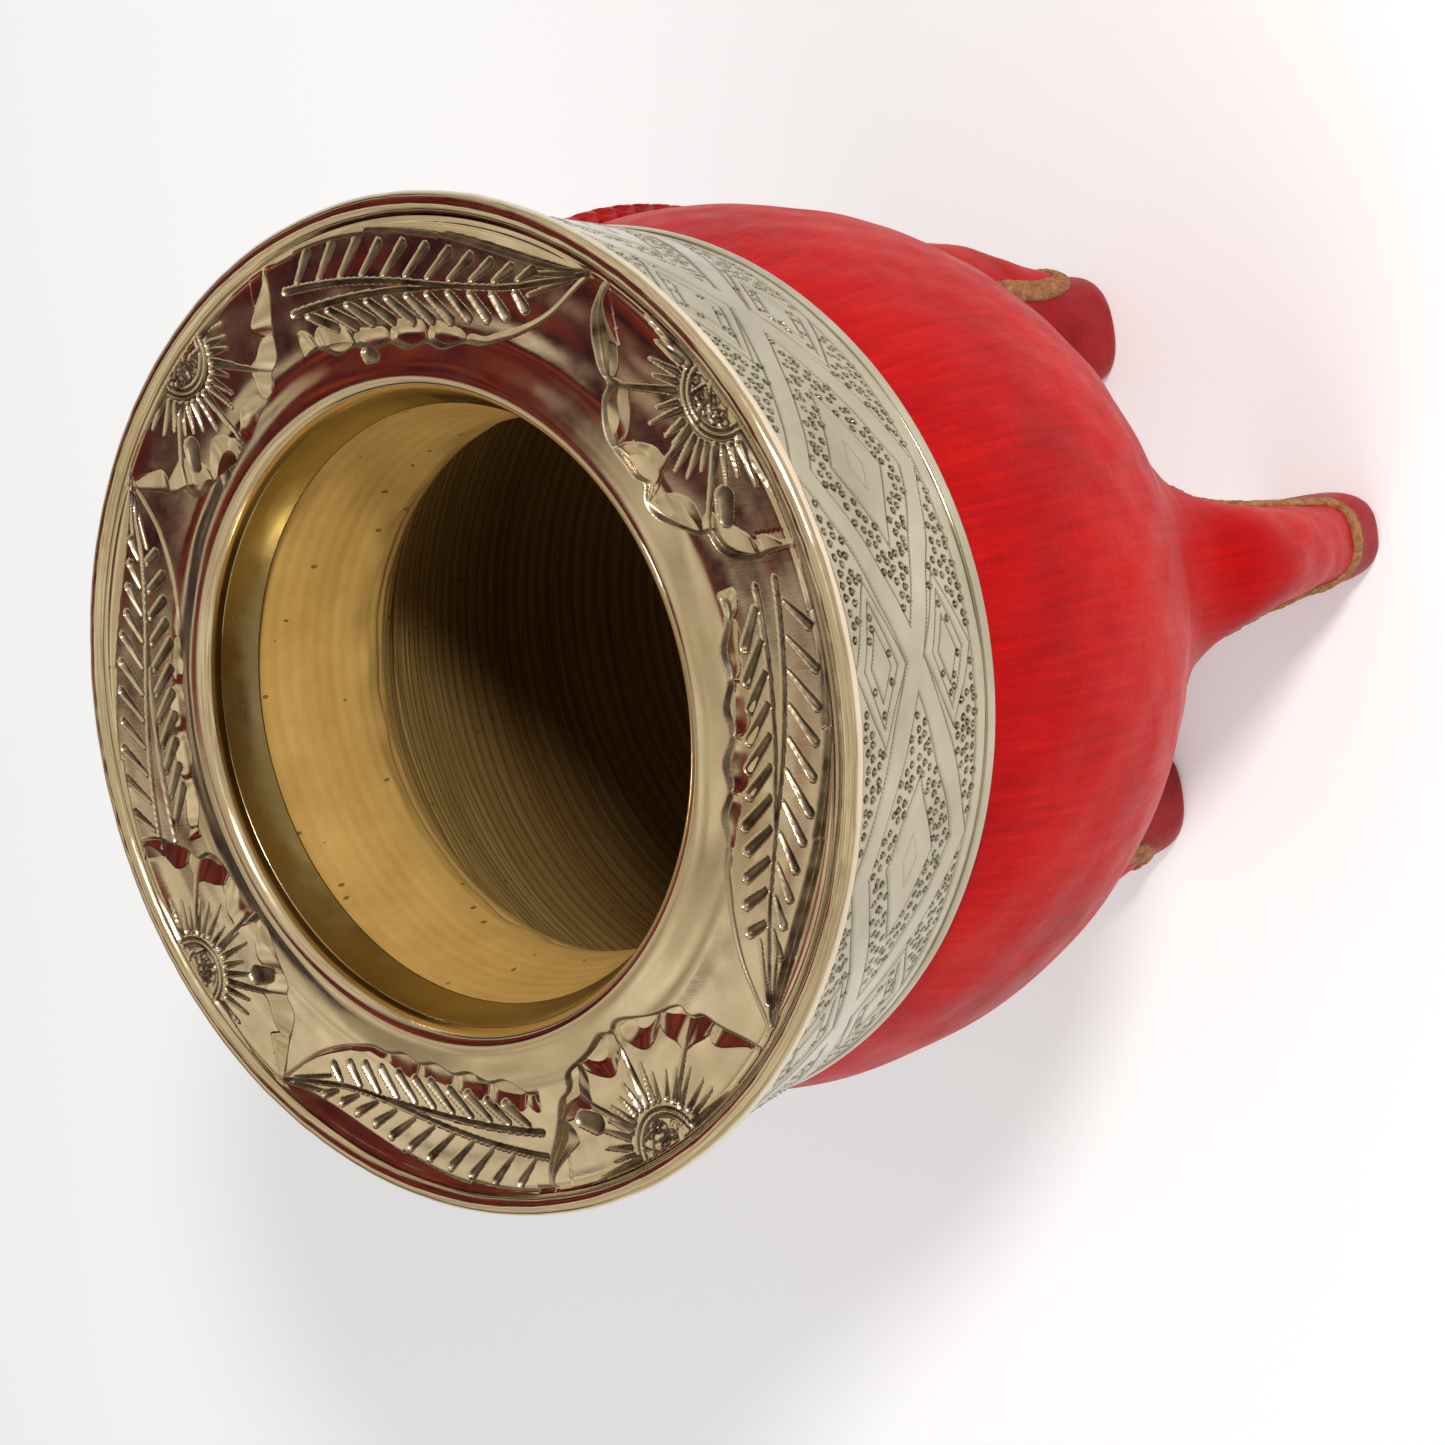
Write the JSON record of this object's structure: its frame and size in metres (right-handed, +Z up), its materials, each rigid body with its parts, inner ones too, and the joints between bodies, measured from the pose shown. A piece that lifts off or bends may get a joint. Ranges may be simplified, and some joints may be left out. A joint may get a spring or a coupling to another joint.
{
  "type": "mate drinking cup",
  "caption": "Leather-covered gourd cup on four short legs with a wide chased metal collar around its mouth, for drinking yerba mate.",
  "frame": {"origin": "on the ground under the four feet, on the cup's own axis", "axes": "+Z up along the cup's axis, out of its mouth; -Y towards leg 1"},
  "size_m": [0.088, 0.088, 0.1185],
  "materials": {
    "gourd": "dried calabash, scraped inside",
    "red_leather": "dyed, semi-gloss",
    "collar_metal": "polished nickel silver, chased by hand",
    "leg_wood": "carved, hidden under leather",
    "raw_leather_edge": "raw cut edge"
  },
  "bodies": {
    "root": {"gourd_shell": "gourd", "body_cover": "red_leather", "base_patch": "red_leather", "seam_lace": "red_leather", "flange_plate": "collar_metal", "rim_wire": "collar_metal", "lip_ring": "collar_metal", "throat_collar": "collar_metal", "band_sleeve": "collar_metal", "band_bead": "collar_metal", "leg_core_1": "leg_wood", "leg_core_2": "leg_wood", "leg_core_3": "leg_wood", "leg_core_4": "leg_wood", "leg_cover_1": "red_leather", "leg_cover_2": "red_leather", "leg_cover_3": "red_leather", "leg_cover_4": "red_leather", "leg_lining_1": "red_leather", "leg_lining_2": "red_leather", "leg_lining_3": "red_leather", "leg_lining_4": "red_leather", "leg_edge_1": "raw_leather_edge", "leg_edge_2": "raw_leather_edge", "leg_edge_3": "raw_leather_edge", "leg_edge_4": "raw_leather_edge"}
  },
  "joints": []
}
